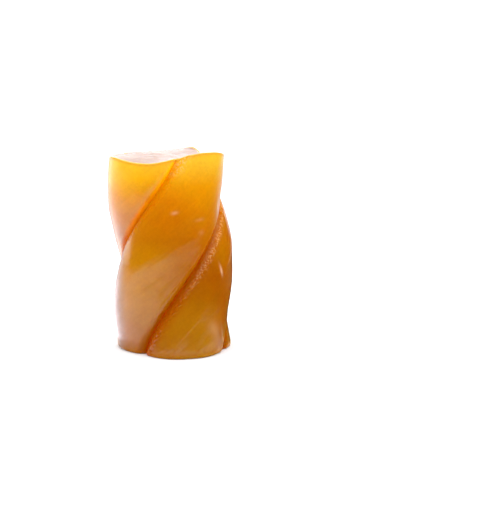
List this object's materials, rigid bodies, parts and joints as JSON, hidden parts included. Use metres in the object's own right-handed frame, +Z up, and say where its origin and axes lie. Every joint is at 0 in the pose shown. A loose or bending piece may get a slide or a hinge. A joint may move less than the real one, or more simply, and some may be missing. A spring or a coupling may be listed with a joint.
{
  "type": "cola twist candy",
  "caption": "Short length of a three-lobed soft amber gum rope, twisted while warm and cut square at both ends, standing on its cut.",
  "frame": {"origin": "centre of the piece's bounding box, on the surface that its lower cut face stands on", "axes": "+Z up along the twisted rope, -Y to the front"},
  "size_m": [0.0188, 0.0192, 0.0308],
  "materials": {
    "gum": "translucent amber fruit gum, soft sheen on the drawn sides, matt pale cut faces"
  },
  "bodies": {
    "root": {"twist": "gum"}
  },
  "joints": []
}
